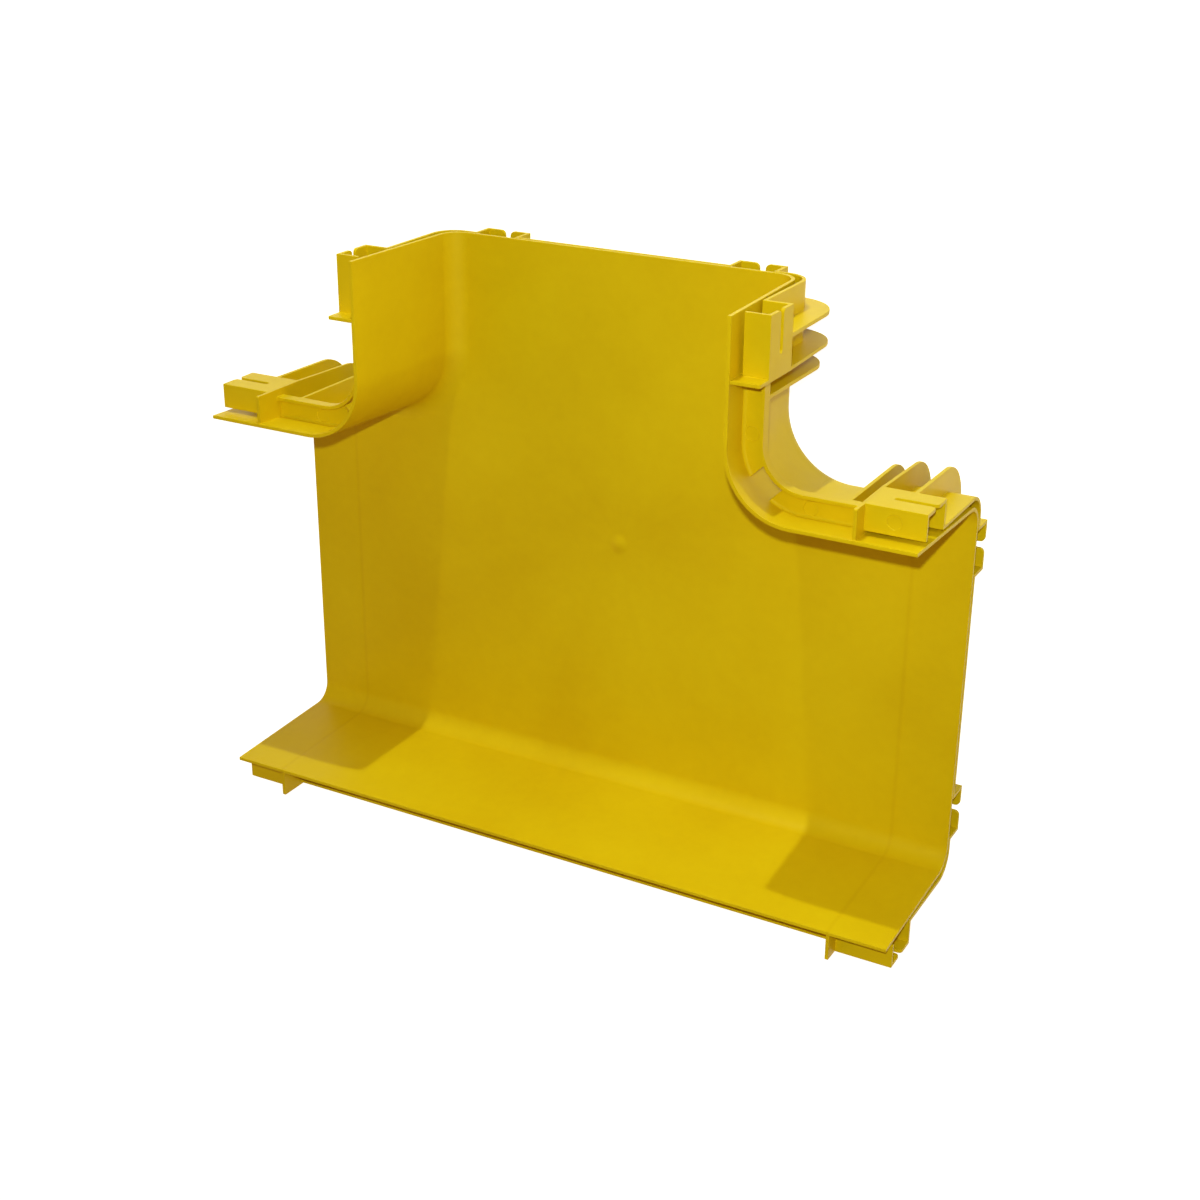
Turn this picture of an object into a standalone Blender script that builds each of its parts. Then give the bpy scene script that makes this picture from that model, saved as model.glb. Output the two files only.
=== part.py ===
"""Horizontal tee of a fibre duct, moulded in one piece.

The channel is a floor with leaning walls, open at the top and at three ends.
Each end has a sleeve outside the channel, with a slotted pocket on either side
and two slotted pockets underneath, which are also the feet. Fins run round the
sleeves and the corners, and a ledge follows the walls from sleeve to sleeve.

Metres, +Z up. The run lies along X and the branch points along +Y. The tee
stands on its feet at z = 0, with the origin under the middle of its outline.
Sections are drawn with heights above the floor's inner face, and plans from
the crossing of the two centre lines. The finished mesh is moved to its place.
"""

import math

import bmesh
import bpy
from mathutils import Matrix, Vector

# Channel
REACH = 0.233
CHANNEL_WIDTH = 0.232
WALL_HEIGHT = 0.100
WALL_LEAN = 0.004
WALL_THICKNESS = 0.0023
FLOOR_FILLET = 0.0125
BEND_RADIUS = 0.040
RIM_ROUND = 0.0007

# Sleeve outside each open end
SLEEVE_DEPTH = 0.036
SLEEVE_THICKNESS = 0.0022
SLEEVE_SIDE_GAP = 0.0015
SLEEVE_FLOOR_GAP = 0.0012
SLEEVE_CORNER = 0.0155

# Pocket on each side of a sleeve
POCKET_BASE = 0.0586
POCKET_HEIGHT = 0.0295
POCKET_REACH = 0.0154
POCKET_SLOT_LEVEL = 0.0732
POCKET_SLOT_WIDTH = 0.0034
POCKET_SLOT_LENGTH = 0.024
POCKET_SLOT_ROUND = 0.0025

# Pockets under a sleeve, which the tee stands on, set in from the sleeve's sides
FOOT_INSET = 0.02225
FOOT_WIDTH = 0.031
FOOT_DROP = 0.0139
FOOT_SLOT_WIDTH = 0.0039
FOOT_SLOT_LENGTH = 0.024
FOOT_SLOT_ROUND = 0.003

# Ribs and fins across the outside of the channel
CLOSING_RIB_THICKNESS = 0.0028
CLOSING_RIB_BELOW_RIM = 0.0009
CLOSING_RIB_TIP_ROUND = 0.001
FIN_THICKNESS = 0.0025
FIN_ROUND = 0.0275
FIN_LEAN = 0.0019
SLEEVE_FIN_STATION = 0.018
CORNER_FIN_STATION = 0.0493
CORNER_FIN_LEAN = 0.001

# Ledge along the walls, with a raised lip round the two corners
LEDGE_LEVEL = 0.0757
LEDGE_THICKNESS = 0.0023
LEDGE_REACH = 0.0127
LIP_THICKNESS = 0.0023
LIP_RISE = 0.0078
WINDOW_WIDTH = 0.0165

# Gate mark on the floor
GATE_OFFSET_X = 0.0047
GATE_OFFSET_Y = 0.0486
GATE_DIAMETER = 0.013
GATE_RISE = 0.001

# Fineness of the curves
BEND_STEPS = 16
FILLET_STEPS = 8
SLEEVE_STEPS = 6
FIN_STEPS = 8
ROUND_STEPS = 3
EDGE_ROUND = 0.0004
EDGE_STEPS = 2
GATE_STEPS = 24
OVERCUT = 0.005

# Colour of the plastic
YELLOW = (0.72, 0.50, 0.012, 1.0)
ROUGHNESS = 0.38

# Sizes that follow from the ones above
LEAN_ANGLE = math.atan2(WALL_LEAN, WALL_HEIGHT)
RIB_STATION = REACH - SLEEVE_DEPTH
CORNER_FIN_PLACE = REACH - CORNER_FIN_STATION

# The bend of a corner wall ends before the corner fins, which stand on its straight stretches
RIM_HALF = CHANNEL_WIDTH / 2 + WALL_LEAN
BEND_CENTRE = min(RIM_HALF + BEND_RADIUS, CORNER_FIN_PLACE - FIN_THICKNESS)


def wall_half(level, outward=0.0):
    """Half width of the channel at a level, on a face that lies outward of the inner one."""
    lean = WALL_LEAN * level / WALL_HEIGHT
    return CHANNEL_WIDTH / 2 + lean + outward / math.cos(LEAN_ANGLE)


SLEEVE_HALF = wall_half(POCKET_BASE, WALL_THICKNESS) + SLEEVE_SIDE_GAP + SLEEVE_THICKNESS
SLEEVE_BOTTOM = -(WALL_THICKNESS + SLEEVE_FLOOR_GAP + SLEEVE_THICKNESS)
POCKET_HALF = SLEEVE_HALF + POCKET_REACH
POCKET_TOP = POCKET_BASE + POCKET_HEIGHT
FOOT_OUTER = SLEEVE_HALF - FOOT_INSET
FOOT_INNER = FOOT_OUTER - FOOT_WIDTH
FOOT_BOTTOM = SLEEVE_BOTTOM - FOOT_DROP
FIN_CENTRE = (POCKET_HALF - FIN_LEAN - FIN_ROUND, FOOT_BOTTOM + FIN_ROUND)
LEDGE_HALF = wall_half(WALL_HEIGHT, WALL_THICKNESS) + LEDGE_REACH
LEDGE_TOP = LEDGE_LEVEL + LEDGE_THICKNESS
CORNER_FIN_ROUND = LEDGE_HALF - CORNER_FIN_LEAN - FIN_CENTRE[0]


def arc(centre, radius, start, end, steps):
    """Points on an arc from one angle to another, in degrees."""
    angles = [math.radians(start + (end - start) * i / steps) for i in range(steps + 1)]
    return [(centre[0] + radius * math.cos(a), centre[1] + radius * math.sin(a)) for a in angles]


def mirrored(points):
    """The same points on the other side of the vertical axis, in reverse order."""
    return [(-across, up) for across, up in reversed(points)]


def soften(outline, radius=EDGE_ROUND, steps=EDGE_STEPS):
    """Round each sharp corner of a closed outline, and leave the points of its arcs alone."""
    sharp = math.radians(40)
    result = []
    for i, point in enumerate(outline):
        here = Vector(point)
        back = (Vector(outline[i - 1]) - here).normalized()
        on = (Vector(outline[(i + 1) % len(outline)]) - here).normalized()
        opening = back.angle(on)
        if math.pi - opening < sharp:
            result.append(point)
            continue
        middle = here + (back + on).normalized() * radius / math.sin(opening / 2)
        first = here + back * radius / math.tan(opening / 2) - middle
        last = here + on * radius / math.tan(opening / 2) - middle
        for step in range(steps + 1):
            spoke = first.normalized().slerp(last.normalized(), step / steps)
            result.append(tuple(middle + spoke * radius))
    return result


def new_object(name, bm):
    """Turn a bmesh into an object whose faces point outwards."""
    bmesh.ops.recalc_face_normals(bm, faces=bm.faces)
    mesh = bpy.data.meshes.new(name)
    bm.to_mesh(mesh)
    bm.free()
    made = bpy.data.objects.new(name, mesh)
    bpy.context.scene.collection.objects.link(made)
    return made


def loft(name, rings):
    """Closed solid through rings of points that match one another."""
    bm = bmesh.new()
    loops = [[bm.verts.new(point) for point in ring] for ring in rings]
    for lower, upper in zip(loops, loops[1:]):
        for i in range(len(lower)):
            bm.faces.new((lower[i - 1], lower[i], upper[i], upper[i - 1]))
    bm.faces.new(loops[0])
    bm.faces.new(loops[-1])
    return new_object(name, bm)


def prism(name, outline, low, high, along):
    """Extrude a closed outline from low to high along one axis.

    The outline is drawn on the other two axes, in the order X, Y, Z.
    """
    place = {
        "X": lambda u, v, depth: (depth, u, v),
        "Y": lambda u, v, depth: (u, depth, v),
        "Z": lambda u, v, depth: (u, v, depth),
    }[along]
    return loft(name, [[place(u, v, depth) for u, v in outline] for depth in (low, high)])


def channel_plan(half, reach):
    """Plan of the tee at one distance from its centre lines, anticlockwise."""
    bend = arc((BEND_CENTRE, BEND_CENTRE), BEND_CENTRE - half, 270, 180, BEND_STEPS)
    right = [(reach, -half), (reach, half), *bend, (half, reach)]
    return right + mirrored(right)


def channel_loft(name, section, reach):
    """Sweep a wall section, given as half widths and levels, round the plan of the tee."""
    rings = []
    for half, level in section:
        rings.append([(x, y, level) for x, y in channel_plan(half, reach)])
    return loft(name, rings)


def wall_section(outward):
    """Face of floor corner and wall, from the floor up to the start of the rim's edge."""
    lean = math.degrees(LEAN_ANGLE)
    corner = (wall_half(FLOOR_FILLET) - FLOOR_FILLET / math.cos(LEAN_ANGLE), FLOOR_FILLET)
    return arc(corner, FLOOR_FILLET + outward, -90, -lean, FILLET_STEPS)


def channel_block():
    """Outside of the channel as a solid block, with the rim's outer edge rounded."""
    lean = math.degrees(LEAN_ANGLE)
    level = WALL_HEIGHT - RIM_ROUND
    edge = (wall_half(level, WALL_THICKNESS - RIM_ROUND), level)
    section = wall_section(WALL_THICKNESS) + arc(edge, RIM_ROUND, -lean, 90, ROUND_STEPS)
    return channel_loft("channel_block", section, REACH)


def channel_void():
    """Space inside the channel, which runs out past the rim and the three ends."""
    lean = math.degrees(LEAN_ANGLE)
    level = WALL_HEIGHT - RIM_ROUND
    edge = (wall_half(level, RIM_ROUND), level)
    section = wall_section(0.0) + arc(edge, RIM_ROUND, 180 - lean, 90, ROUND_STEPS)
    section.append((edge[0], WALL_HEIGHT + OVERCUT))
    return channel_loft("channel_void", section, REACH + OVERCUT)


def sleeve_face(inward):
    """Half of the sleeve's section, from its middle to the free edge over the side pocket."""
    corner = (SLEEVE_HALF - SLEEVE_CORNER, SLEEVE_BOTTOM + SLEEVE_CORNER)
    return [
        (FOOT_INNER + inward, SLEEVE_BOTTOM + inward),
        (FOOT_INNER + inward, FOOT_BOTTOM + inward),
        (FOOT_OUTER - inward, FOOT_BOTTOM + inward),
        (FOOT_OUTER - inward, SLEEVE_BOTTOM + inward),
        *arc(corner, SLEEVE_CORNER - inward, -90, 0, SLEEVE_STEPS),
        (SLEEVE_HALF - inward, POCKET_BASE + inward),
        (POCKET_HALF - inward, POCKET_BASE + inward),
        (POCKET_HALF - inward, POCKET_TOP - inward),
        (SLEEVE_HALF, POCKET_TOP - inward),
    ]


def sleeve():
    """Sheet of even thickness round the channel, stepped out at its four pockets."""
    outer = sleeve_face(0.0)
    inner = sleeve_face(SLEEVE_THICKNESS)
    outline = mirrored(outer) + outer + inner[::-1] + mirrored(inner)[::-1]
    return prism("sleeve", soften(outline), RIB_STATION, REACH, "X")


def closing_rib():
    """Plate across the channel at the sleeve's inner end, cut to a point beside the rim."""
    top = WALL_HEIGHT - CLOSING_RIB_BELOW_RIM
    tip = (POCKET_HALF - CLOSING_RIB_TIP_ROUND, top - CLOSING_RIB_TIP_ROUND)
    outer = arc(FIN_CENTRE, FIN_ROUND, -90, 0, FIN_STEPS)
    outer += [(POCKET_HALF, POCKET_BASE)]
    outer += arc(tip, CLOSING_RIB_TIP_ROUND, 0, 90, ROUND_STEPS)
    half = CLOSING_RIB_THICKNESS / 2
    return prism("closing_rib", mirrored(outer) + outer, RIB_STATION - half, RIB_STATION + half, "X")


def sleeve_fin(side):
    """Fin round the sleeve's corner, from the side pocket to the foot."""
    root = SLEEVE_THICKNESS / 2
    outline = arc(FIN_CENTRE, FIN_ROUND, 0, -90, FIN_STEPS)
    outline = [(POCKET_HALF, POCKET_BASE + root)] + outline
    outline += [(FOOT_OUTER - root, FOOT_BOTTOM)]
    outline += sleeve_face(root)[3:-3]
    middle = REACH - SLEEVE_FIN_STATION
    outline = [(side * across, level) for across, level in outline]
    return prism("sleeve_fin", outline, middle - FIN_THICKNESS / 2, middle + FIN_THICKNESS / 2, "X")


def corner_fin(side):
    """Fin behind the closing rib, from the ledge round under the floor."""
    level = LEDGE_LEVEL + LEDGE_THICKNESS / 2
    outline = arc(FIN_CENTRE, CORNER_FIN_ROUND, 0, -90, FIN_STEPS)
    outline = [(LEDGE_HALF, level)] + outline
    outline += [(FOOT_OUTER, outline[-1][1]), (FOOT_OUTER, 0.0)]
    outline += [(wall_half(level, WALL_THICKNESS / 2), level)]
    outline = [(side * across, up) for across, up in outline]
    half = FIN_THICKNESS / 2
    return prism("corner_fin", outline, CORNER_FIN_PLACE - half, CORNER_FIN_PLACE + half, "X")


def slot_outline(width, length, mouth_round, level):
    """Slot with a round end, drawn from the open end inwards, with its mouth's edges rounded."""
    half = width / 2
    mouth = (REACH - mouth_round, half + mouth_round)
    upper = [(REACH + OVERCUT, half + mouth_round)]
    upper += arc(mouth, mouth_round, 0, -90, ROUND_STEPS)
    upper += arc((REACH - length + half, 0.0), half, 90, 180, ROUND_STEPS)
    lower = [(along, -across) for along, across in reversed(upper[:-1])]
    return [(along, level + across) for along, across in upper + lower]


def pocket_slot(side):
    """Cutter for the slot in a side pocket's outer plate."""
    outline = slot_outline(POCKET_SLOT_WIDTH, POCKET_SLOT_LENGTH, POCKET_SLOT_ROUND, POCKET_SLOT_LEVEL)
    near = side * (SLEEVE_HALF + SLEEVE_THICKNESS)
    far = side * (POCKET_HALF + OVERCUT)
    return prism("pocket_slot", outline, min(near, far), max(near, far), "Y")


def foot_slot(side):
    """Cutter for the slot in a foot."""
    middle = side * (FOOT_INNER + FOOT_OUTER) / 2
    outline = slot_outline(FOOT_SLOT_WIDTH, FOOT_SLOT_LENGTH, FOOT_SLOT_ROUND, middle)
    return prism("foot_slot", outline, FOOT_BOTTOM - OVERCUT, SLEEVE_BOTTOM - SLEEVE_THICKNESS, "Z")


def corner_strip(name, side, inner_half, outer_half, low, high):
    """Band that follows a corner wall from the run's closing rib to the branch's."""
    centre = (BEND_CENTRE, BEND_CENTRE)
    near = arc(centre, BEND_CENTRE - inner_half, 270, 180, BEND_STEPS)
    far = arc(centre, BEND_CENTRE - outer_half, 180, 270, BEND_STEPS)
    outline = [(RIB_STATION, inner_half), *near, (inner_half, RIB_STATION)]
    outline += [(outer_half, RIB_STATION), *far, (RIB_STATION, outer_half)]
    return prism(name, [(side * x, y) for x, y in outline], low, high, "Z")


def corner_window(side):
    """Cutter for the window in the ledge, from wall to lip at the middle of the bend."""
    near = BEND_CENTRE - wall_half(LEDGE_LEVEL)
    far = BEND_CENTRE - LEDGE_HALF + LIP_THICKNESS / 2
    half = WINDOW_WIDTH / 2
    outline = []
    for radius, across in ((near, -half), (near, half), (far, half), (far, -half)):
        spoke = Matrix.Rotation(math.radians(225), 2) @ Vector((radius, across))
        outline.append((side * (BEND_CENTRE + spoke.x), BEND_CENTRE + spoke.y))
    return prism("window", outline, LEDGE_LEVEL - OVERCUT, LEDGE_TOP + OVERCUT, "Z")


def corner_ledge(side):
    """Ledge with its window, and raised lip, round one corner of the tee."""
    root = wall_half(LEDGE_LEVEL, WALL_THICKNESS / 2)
    lip_inner = LEDGE_HALF - LIP_THICKNESS
    ledge = corner_strip("ledge", side, root, LEDGE_HALF, LEDGE_LEVEL, LEDGE_TOP)
    combine(ledge, [corner_window(side)], "DIFFERENCE")
    lip = corner_strip("lip", side, lip_inner, LEDGE_HALF, LEDGE_LEVEL, LEDGE_TOP + LIP_RISE)
    return [ledge, lip]


def back_ledge():
    """Plain ledge along the back wall, between the closing ribs of the run."""
    near = -wall_half(LEDGE_LEVEL, WALL_THICKNESS / 2)
    outline = [(-RIB_STATION, -LEDGE_HALF), (RIB_STATION, -LEDGE_HALF), (RIB_STATION, near), (-RIB_STATION, near)]
    return prism("back_ledge", outline, LEDGE_LEVEL, LEDGE_TOP, "Z")


def gate_mark():
    """Low dome where the plastic was fed in, on the floor beside the crossing."""
    foot = GATE_DIAMETER / 2
    ball = (foot ** 2 + GATE_RISE ** 2) / (2 * GATE_RISE)
    rings = []
    for level in (-WALL_THICKNESS / 2, 0.0, GATE_RISE * 0.4, GATE_RISE * 0.75, GATE_RISE * 0.97):
        rise = max(level, 0.0)
        radius = math.sqrt(ball ** 2 - (ball - GATE_RISE + rise) ** 2)
        circle = arc((GATE_OFFSET_X, GATE_OFFSET_Y), radius, 0, 360, GATE_STEPS)[:-1]
        rings.append([(x, y, level) for x, y in circle])
    return loft("gate_mark", rings)


def turned(made, quarters):
    """Turn an end's pieces by whole quarter turns, from the +X end of the run to another end."""
    quarter = Matrix(((0, -1, 0, 0), (1, 0, 0, 0), (0, 0, 1, 0), (0, 0, 0, 1)))
    for piece in made:
        for _ in range(quarters):
            piece.data.transform(quarter)
    return made


def combine(base, pieces, operation):
    """Join pieces to the base, or cut them from it, and remove them."""
    group = bpy.data.collections.new(operation.lower())
    for piece in pieces:
        group.objects.link(piece)
    step = base.modifiers.new(operation.lower(), "BOOLEAN")
    step.operation = operation
    step.solver = "EXACT"
    step.operand_type = "COLLECTION"
    step.collection = group
    bpy.context.view_layer.update()
    evaluated = base.evaluated_get(bpy.context.evaluated_depsgraph_get())
    result = bpy.data.meshes.new_from_object(evaluated)
    base.modifiers.clear()
    base.data = result
    for piece in pieces:
        bpy.data.objects.remove(piece)
    bpy.data.collections.remove(group)


def yellow_plastic():
    """Flame-retardant yellow plastic with a satin surface."""
    material = bpy.data.materials.new("yellow_plastic")
    material.use_nodes = True
    shader = material.node_tree.nodes["Principled BSDF"]
    shader.inputs["Base Color"].default_value = YELLOW
    shader.inputs["Roughness"].default_value = ROUGHNESS
    shader.inputs["Metallic"].default_value = 0.0
    return material


def build_tee():
    """Model the tee about the crossing of its centre lines, then stand it on its feet."""
    added = [back_ledge(), *corner_ledge(1), *corner_ledge(-1)]
    cut = [channel_void()]

    # Quarter turns to each end, and which of its sides meet a corner of the tee
    ends = ((0, (1,)), (1, (1, -1)), (2, (-1,)))
    for quarters, corner_sides in ends:
        added += turned([sleeve(), closing_rib(), sleeve_fin(1), sleeve_fin(-1)], quarters)
        added += turned([corner_fin(side) for side in corner_sides], quarters)
        for side in (1, -1):
            cut += turned([pocket_slot(side), foot_slot(side)], quarters)

    tee = channel_block()
    combine(tee, added, "UNION")
    combine(tee, cut, "DIFFERENCE")
    combine(tee, [gate_mark()], "UNION")
    tee.data.transform(Matrix.Translation((0.0, (POCKET_HALF - REACH) / 2, -FOOT_BOTTOM)))
    return tee


def main():
    """Clear the scene and build the tee as one object."""
    for old in list(bpy.data.objects):
        bpy.data.objects.remove(old, do_unlink=True)
    tee = build_tee()
    tee.name = "raceway_tee"
    tee.data.name = "raceway_tee"
    tee.data.materials.clear()
    tee.data.materials.append(yellow_plastic())
    tee.data.shade_smooth()
    tee.data.set_sharp_from_angle(angle=math.radians(30))


main()
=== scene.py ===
"""Looks of a fibre raceway tee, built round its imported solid.

The tee is one yellow moulding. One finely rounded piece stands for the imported
solid, and takes its reach and its place from it.

Metres, in the row frame: +X along the run, +Y out of the branch, +Z up out of
the open channel. Sections and plans are drawn as the mould maker would, with
heights above the floor's inner face and plans from the crossing of the two
centre lines, and the finished mesh is then moved to its place.
"""

from __future__ import annotations

import logging
import math
from dataclasses import dataclass
from enum import Enum
from typing import Any, Iterable

import bmesh
import bpy
from bpy.types import Material, Node, NodeSocket, NodeTree, Object
from mathutils import Matrix, Vector

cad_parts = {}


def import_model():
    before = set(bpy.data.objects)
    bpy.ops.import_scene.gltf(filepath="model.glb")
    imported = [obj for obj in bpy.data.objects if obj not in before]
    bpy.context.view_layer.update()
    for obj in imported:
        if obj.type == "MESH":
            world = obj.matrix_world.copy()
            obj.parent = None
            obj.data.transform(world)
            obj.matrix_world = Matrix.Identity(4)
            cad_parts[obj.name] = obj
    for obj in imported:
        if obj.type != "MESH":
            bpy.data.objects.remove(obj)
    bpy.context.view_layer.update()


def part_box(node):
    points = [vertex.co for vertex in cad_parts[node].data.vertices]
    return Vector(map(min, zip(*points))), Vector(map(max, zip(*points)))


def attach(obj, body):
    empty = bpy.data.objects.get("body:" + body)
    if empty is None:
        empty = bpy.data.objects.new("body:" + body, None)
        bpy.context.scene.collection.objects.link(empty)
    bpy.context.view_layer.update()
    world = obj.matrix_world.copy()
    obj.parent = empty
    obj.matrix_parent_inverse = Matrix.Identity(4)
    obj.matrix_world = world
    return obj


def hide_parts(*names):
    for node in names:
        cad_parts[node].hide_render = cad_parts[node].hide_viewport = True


NODE = "raceway_tee"
BODY = "root"
SLOT = "yellow_plastic"

Point = tuple[float, float]
Place = tuple[float, float, float]
Colour = tuple[float, float, float]

log = logging.getLogger("raceway_tee")


class Axis(Enum):
    """Direction that an outline is extruded along."""

    X = "x"
    Y = "y"
    Z = "z"

    def place(self, u: float, v: float, depth: float) -> Place:
        """Put a point of an outline at a depth along this axis.

        Args:
            u: First coordinate of the outline, in the order X, Y, Z.
            v: Second coordinate of the outline.
            depth: Distance along the axis.

        Returns:
            The point in space.
        """
        if self is Axis.X:
            return (depth, u, v)
        if self is Axis.Y:
            return (u, depth, v)
        return (u, v, depth)


class Join(Enum):
    """What a Boolean does with its operands."""

    ADD = "UNION"
    CUT = "DIFFERENCE"


class Tree:
    """A node tree, with one method that adds any node to it."""

    def __init__(self, tree: NodeTree) -> None:
        """Wrap a node tree and empty it."""
        self.tree = tree
        self.tree.nodes.clear()

    def node(self, kind: str, settings: dict[str, Any] | None = None, **inputs: Any) -> Socket:
        """Add a node, set its options, then fill its sockets.

        Args:
            kind: The node's type name in Blender.
            settings: Options of the node, set before its sockets.
            **inputs: Value, socket or link for each input. A name has an underscore for
                each space, and socket_N is the input with index N.

        Returns:
            The node's first output, or the node's handle without one.
        """
        made = self.tree.nodes.new(kind)
        for name, value in (settings or {}).items():
            setattr(made, name, value)
        for name, value in inputs.items():
            if name.startswith("socket_"):
                target = made.inputs[int(name.removeprefix("socket_"))]
            else:
                target = made.inputs[name.replace("_", " ")]
            if isinstance(value, Socket):
                self.tree.links.new(value.output, target)
            else:
                target.default_value = value
        return Socket(self, made, made.outputs[0] if made.outputs else None)


class Socket:
    """An output of a node, which adds maths nodes when it is used in an expression."""

    def __init__(self, tree: Tree, made: Node, output: NodeSocket | None) -> None:
        """Wrap one output of a node.

        Args:
            tree: Tree that the node is in.
            made: The node.
            output: Its output, or None without one.
        """
        self.tree = tree
        self.made = made
        self.output = output

    def out(self, name: str) -> Socket:
        """Another output of the same node, by its name."""
        return Socket(self.tree, self.made, self.made.outputs[name])

    def maths(self, operation: str, first: Any, second: Any, clamp: bool = False) -> Socket:
        """Add a Math node of two numbers or sockets, which clamp holds between 0 and 1."""
        settings = {"operation": operation, "use_clamp": clamp}
        return self.tree.node("ShaderNodeMath", settings, socket_0=first, socket_1=second)

    def __add__(self, other: Any) -> Socket:
        """Sum with a number or socket."""
        return self.maths("ADD", self, other)

    def __radd__(self, other: Any) -> Socket:
        """Sum with a number on the left."""
        return self.maths("ADD", other, self)

    def __sub__(self, other: Any) -> Socket:
        """Difference from a number or socket."""
        return self.maths("SUBTRACT", self, other)

    def __rsub__(self, other: Any) -> Socket:
        """Difference of a number on the left and this socket."""
        return self.maths("SUBTRACT", other, self)

    def __mul__(self, other: Any) -> Socket:
        """Product with a number or socket."""
        return self.maths("MULTIPLY", self, other)

    def __rmul__(self, other: Any) -> Socket:
        """Product with a number on the left."""
        return self.maths("MULTIPLY", other, self)

    def clamped(self) -> Socket:
        """The same value, held between 0 and 1."""
        return self.maths("ADD", self, 0.0, clamp=True)

    def larger(self, other: Any) -> Socket:
        """The larger of this value and another."""
        return self.maths("MAXIMUM", self, other)


def arc(centre: Point, radius: float, start: float, end: float, steps: int) -> list[Point]:
    """Points on an arc, from one angle in degrees to another in equal steps."""
    angles = [math.radians(start + (end - start) * i / steps) for i in range(steps + 1)]
    return [(centre[0] + radius * math.cos(a), centre[1] + radius * math.sin(a)) for a in angles]


def mirrored(points: Iterable[Point]) -> list[Point]:
    """The same points on the other side of the vertical axis, in reverse order."""
    return [(-across, up) for across, up in reversed(list(points))]


def new_object(name: str, bm: bmesh.types.BMesh) -> Object:
    """Turn a bmesh into an object whose faces point outwards.

    Args:
        name: Name of the object and its mesh.
        bm: The bmesh, which is freed.

    Returns:
        The object, linked to the scene.
    """
    bmesh.ops.recalc_face_normals(bm, faces=bm.faces)
    mesh = bpy.data.meshes.new(name)
    bm.to_mesh(mesh)
    bm.free()
    made = bpy.data.objects.new(name, mesh)
    bpy.context.scene.collection.objects.link(made)
    return made


def loft(name: str, rings: list[list[Place]]) -> Object:
    """Make a closed solid through rings of points that match one another.

    Args:
        name: Name of the solid.
        rings: Closed rings with the same number of points.

    Returns:
        The solid, with both ends filled.
    """
    bm = bmesh.new()
    loops = [[bm.verts.new(point) for point in ring] for ring in rings]
    for lower, upper in zip(loops, loops[1:]):
        for i in range(len(lower)):
            bm.faces.new((lower[i - 1], lower[i], upper[i], upper[i - 1]))
    bm.faces.new(loops[0])
    bm.faces.new(loops[-1])
    return new_object(name, bm)


def prism(name: str, outline: list[Point], low: float, high: float, axis: Axis) -> Object:
    """Extrude a closed outline, drawn on the two other axes in the order X, Y, Z."""
    return loft(name, [[axis.place(u, v, depth) for u, v in outline] for depth in (low, high)])


def plate(name: str, outline: list[Point], middle: float, thickness: float, axis: Axis) -> Object:
    """Extrude a closed outline by half a plate's thickness to each side of its middle."""
    return prism(name, outline, middle - thickness / 2, middle + thickness / 2, axis)


def bake(made: Object) -> None:
    """Put the result of an object's modifiers in its mesh, and remove the modifiers.

    Args:
        made: The object.
    """
    bpy.context.view_layer.update()
    evaluated = made.evaluated_get(bpy.context.evaluated_depsgraph_get())
    mesh = bpy.data.meshes.new_from_object(evaluated)
    made.modifiers.clear()
    made.data = mesh


def combine(base: Object, pieces: list[Object], join: Join) -> None:
    """Join pieces to a solid or cut them from it, and remove them.

    Args:
        base: The solid that is changed.
        pieces: The solids that are joined or cut away.
        join: Whether they are added or cut.
    """
    group = bpy.data.collections.new(join.name.lower())
    for piece in pieces:
        group.objects.link(piece)
    step = base.modifiers.new(join.name.lower(), "BOOLEAN")
    step.operation = join.value
    step.solver = "EXACT"
    step.operand_type = "COLLECTION"
    step.collection = group
    bake(base)
    for piece in pieces:
        bpy.data.objects.remove(piece)
    bpy.data.collections.remove(group)


class Repeater:
    """Geometry Nodes that copy a shape to where the moulding repeats it."""

    GRID_DIGITS = 7

    def __init__(self, name: str, material: Material) -> None:
        """Start a tree with a geometry input and a geometry output.

        Args:
            name: Name of the tree.
            material: Material that it sets on its result.
        """
        self.group = bpy.data.node_groups.new(name, "GeometryNodeTree")
        self.tree = Tree(self.group)
        self.material = material
        self.socket("Geometry", "NodeSocketGeometry")
        self.group.interface.new_socket(
            "Geometry", in_out="OUTPUT", socket_type="NodeSocketGeometry"
        )

    def socket(self, name: str, kind: str) -> str:
        """Add a named input to the tree, and return the identifier that a modifier sets it by."""
        made = self.group.interface.new_socket(name, in_out="INPUT", socket_type=kind)
        return made.identifier

    def close(self, geometry: Socket) -> None:
        """End the tree with real geometry in the tee's material.

        Args:
            geometry: What the tree has made.
        """
        real = self.tree.node("GeometryNodeRealizeInstances", Geometry=geometry)
        dressed = self.tree.node("GeometryNodeSetMaterial", Geometry=real, Material=self.material)
        self.tree.node("NodeGroupOutput", Geometry=dressed)

    def run(self, made: Object, values: dict[str, Any]) -> Object:
        """Apply the tree to an object.

        Args:
            made: The object, whose mesh is replaced by the tree's result.
            values: Value for each input, by the input's identifier.

        Returns:
            The same object. Its points are rounded to a ten-thousandth of a millimetre, so
            that faces that were flush before a turn are flush after it.
        """
        step = made.modifiers.new(self.group.name, "NODES")
        step.node_group = self.group
        for identifier, value in values.items():
            step[identifier] = value
        bake(made)
        for vertex in made.data.vertices:
            vertex.co = [round(c, self.GRID_DIGITS) for c in vertex.co]
        return made


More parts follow.
